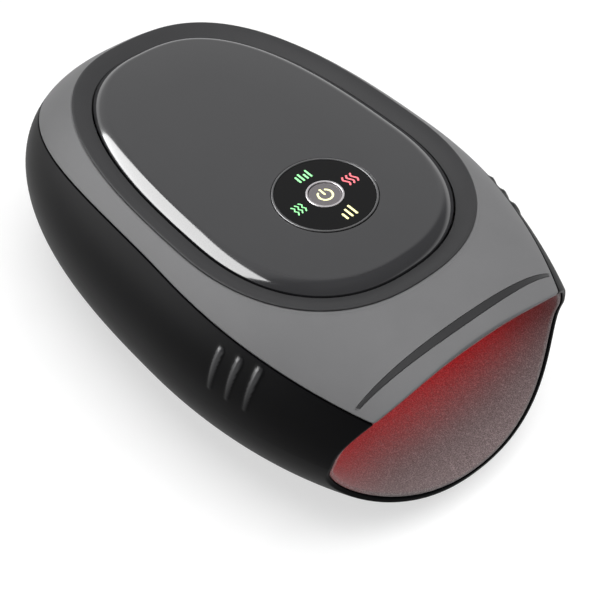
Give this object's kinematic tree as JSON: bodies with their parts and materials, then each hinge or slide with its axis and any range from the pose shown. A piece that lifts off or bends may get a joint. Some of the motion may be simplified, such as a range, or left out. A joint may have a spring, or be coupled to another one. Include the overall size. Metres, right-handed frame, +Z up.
{
  "type": "hand massager",
  "caption": "Cordless hand massager: an oval pebble housing with a wide front mouth, a fabric-lined hand tunnel, inner air bags, a rear air pump and a round top button panel",
  "frame": {"origin": "centre of the bounding box's footprint at the level of the feet's undersides", "axes": "the mouth for the hand faces -Y, the length runs along Y, the width along X, and +Z is up through the button panel"},
  "size_m": [0.1514, 0.2386, 0.0923],
  "materials": {
    "black_gloss_plastic": "gloss black moulded plastic",
    "grey_satin_plastic": "satin grey painted plastic",
    "dark_grey_plastic": "dark grey satin plastic",
    "pad_gloss_plastic": "gloss grey plastic",
    "trim_metal": "satin metal-look ring",
    "white_plastic": "plain moulded inner plastic",
    "lining_fabric": "fine grained soft grey fabric",
    "bag_film": "welded air bag film",
    "heat_film": "amber heating film",
    "board_laminate": "green circuit board laminate",
    "screw_steel": "zinc plated steel",
    "motor_steel": "plain steel",
    "cell_wrap": "blue shrink wrap",
    "hose_silicone": "milky silicone hose",
    "foot_rubber": "black rubber"
  },
  "bodies": {
    "housing": {"lower_shell": "black_gloss_plastic", "upper_shell": "grey_satin_plastic", "accent_strip": "dark_grey_plastic", "bezel_ring": "dark_grey_plastic", "top_pad": "pad_gloss_plastic", "panel_trim": "trim_metal", "panel_lens": "black_gloss_plastic", "button_ring": "trim_metal", "panel_board": "board_laminate", "panel_screw_1": "screw_steel", "panel_screw_2": "screw_steel", "panel_screw_3": "screw_steel", "panel_screw_4": "screw_steel", "tact_switch": "dark_grey_plastic", "lining": "lining_fabric", "upper_air_bag": "bag_film", "lower_air_bag": "bag_film", "heat_pad": "heat_film", "tunnel_frame": "white_plastic", "main_board": "board_laminate", "board_screw_1": "screw_steel", "board_screw_2": "screw_steel", "board_screw_3": "screw_steel", "board_screw_4": "screw_steel", "battery_cell_left": "cell_wrap", "battery_cell_right": "cell_wrap", "vibration_motor": "motor_steel", "valve_body": "white_plastic", "valve_spring": "screw_steel", "pump_motor": "motor_steel", "pump_head": "white_plastic", "rear_tray": "white_plastic", "tray_screw_1": "screw_steel", "tray_screw_2": "screw_steel", "upper_hose": "hose_silicone", "lower_hose": "hose_silicone", "valve_hose": "hose_silicone", "charge_socket": "motor_steel", "charge_board": "board_laminate", "foot_1": "foot_rubber", "foot_2": "foot_rubber", "foot_3": "foot_rubber", "foot_4": "foot_rubber", "base_screw_1": "screw_steel", "base_screw_2": "screw_steel", "base_screw_3": "screw_steel", "base_screw_4": "screw_steel", "cover_screw_1": "screw_steel", "cover_screw_2": "screw_steel", "cover_screw_3": "screw_steel", "cover_screw_4": "screw_steel"},
    "button": {"power_button": "dark_grey_plastic", "switch_plunger": "white_plastic"},
    "vibration_rotor": {"vibration_weight": "motor_steel"},
    "pump_rotor": {"pump_crank": "motor_steel"},
    "valve_piston": {"valve_plunger": "screw_steel"}
  },
  "joints": [
    {"name": "button_press", "type": "slide", "parent": "housing", "child": "button", "axis": [0, 0, -1], "range_m": [0, 0.0006], "stiffness_N_per_m": 800, "springref_m": -0.0005},
    {"name": "vibration_spin", "type": "hinge", "parent": "housing", "child": "vibration_rotor", "pos_m": [-0.066, -0.0192, 0.046], "axis": [0, 1, 0], "continuous": true},
    {"name": "pump_spin", "type": "hinge", "parent": "housing", "child": "pump_rotor", "pos_m": [0.003, 0.088, 0.045], "axis": [1, 0, 0], "continuous": true},
    {"name": "valve_press", "type": "slide", "parent": "housing", "child": "valve_piston", "axis": [0, 0, 1], "range_m": [0, 0.0015], "stiffness_N_per_m": 300, "springref_m": -0.001, "deforming": ["valve_spring"]}
  ]
}
